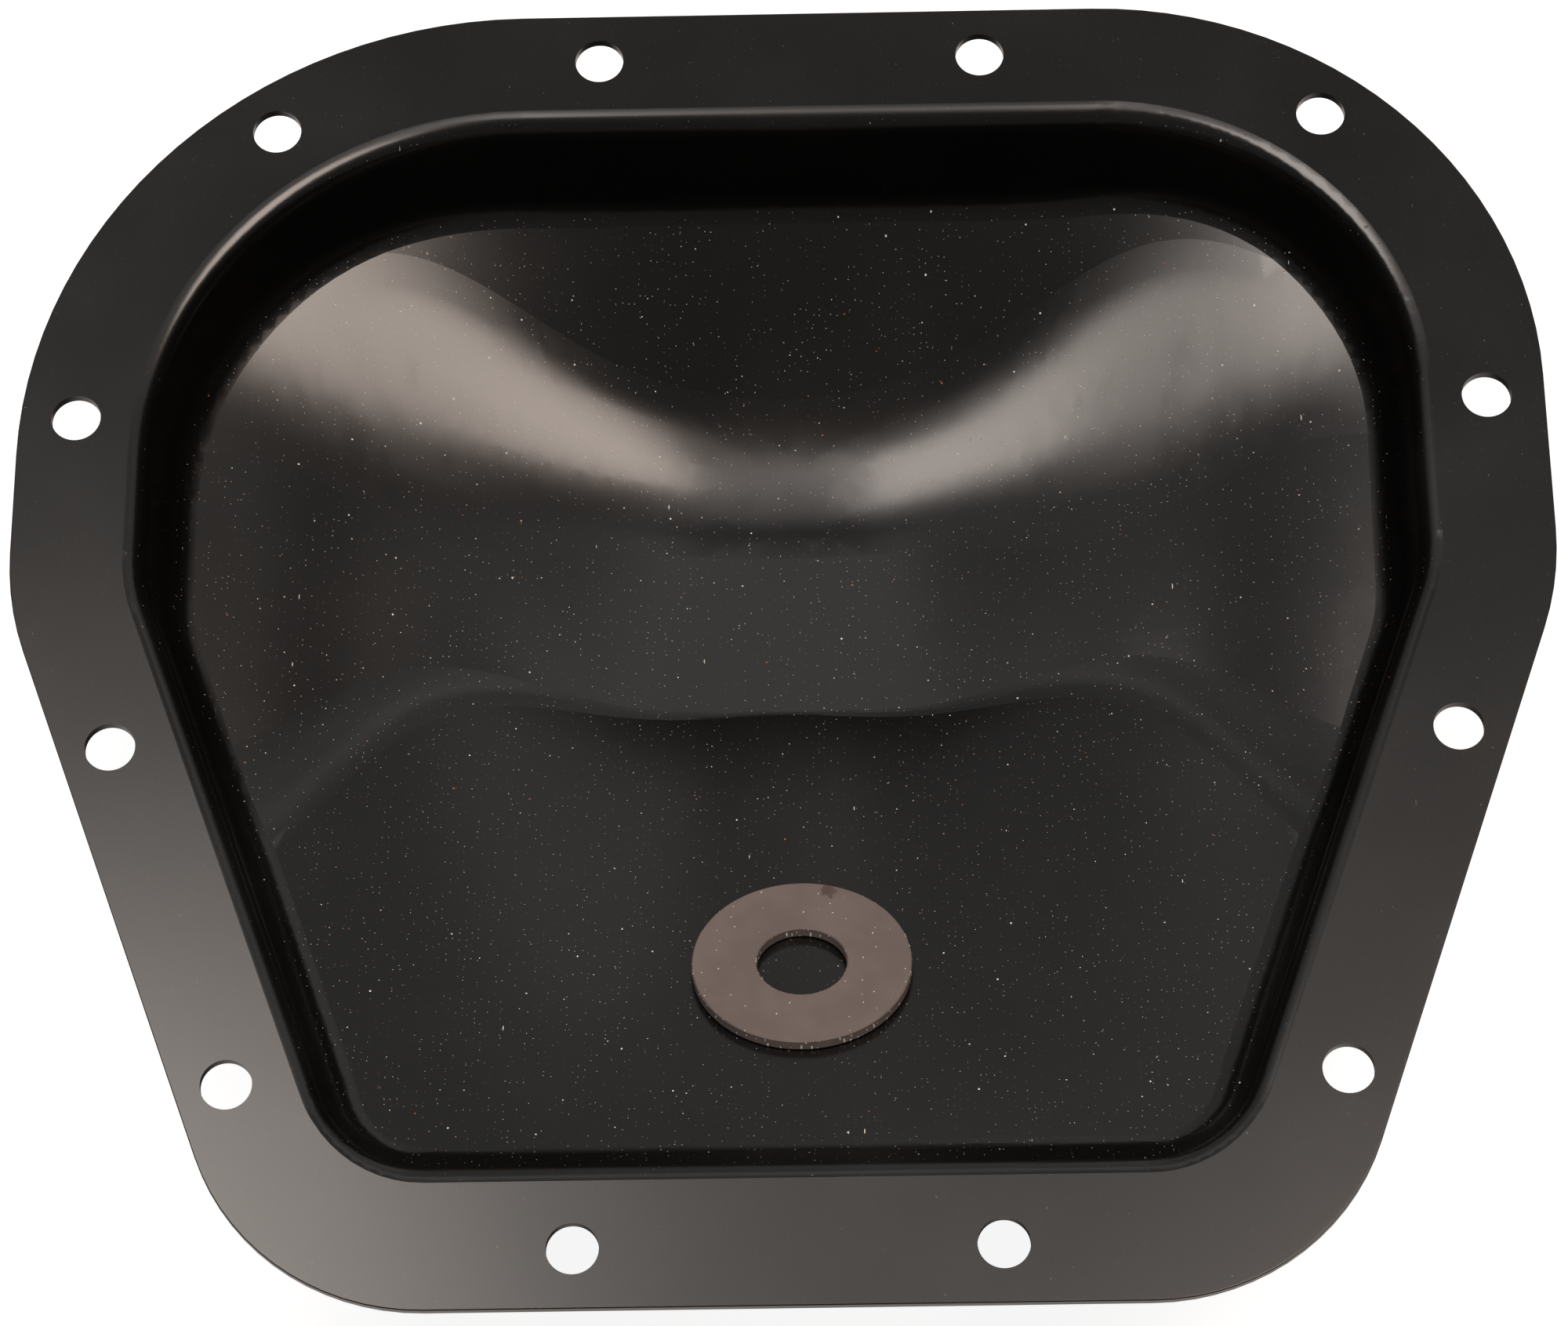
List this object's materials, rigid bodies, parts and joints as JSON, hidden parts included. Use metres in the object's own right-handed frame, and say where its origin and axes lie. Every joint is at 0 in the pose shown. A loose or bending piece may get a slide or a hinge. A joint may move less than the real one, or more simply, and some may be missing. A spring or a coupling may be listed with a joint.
{
  "type": "differential cover",
  "caption": "Stamped steel axle cover: a bolting flange round a deep pan with a sloping floor, and a ring magnet lying on the floor.",
  "frame": {"origin": "midway between the two widest side bolt holes, on the gasket face of the flange", "axes": "+Z is the gasket face's normal, out of the open pan; +Y is toward the wide top edge; +X runs across the cover"},
  "size_m": [0.3388, 0.309, 0.068],
  "materials": {
    "painted_steel": "satin black coating",
    "ferrite": "matt grey-brown ferrite"
  },
  "bodies": {
    "root": {"cover": "painted_steel", "ring_magnet": "ferrite"}
  },
  "joints": []
}
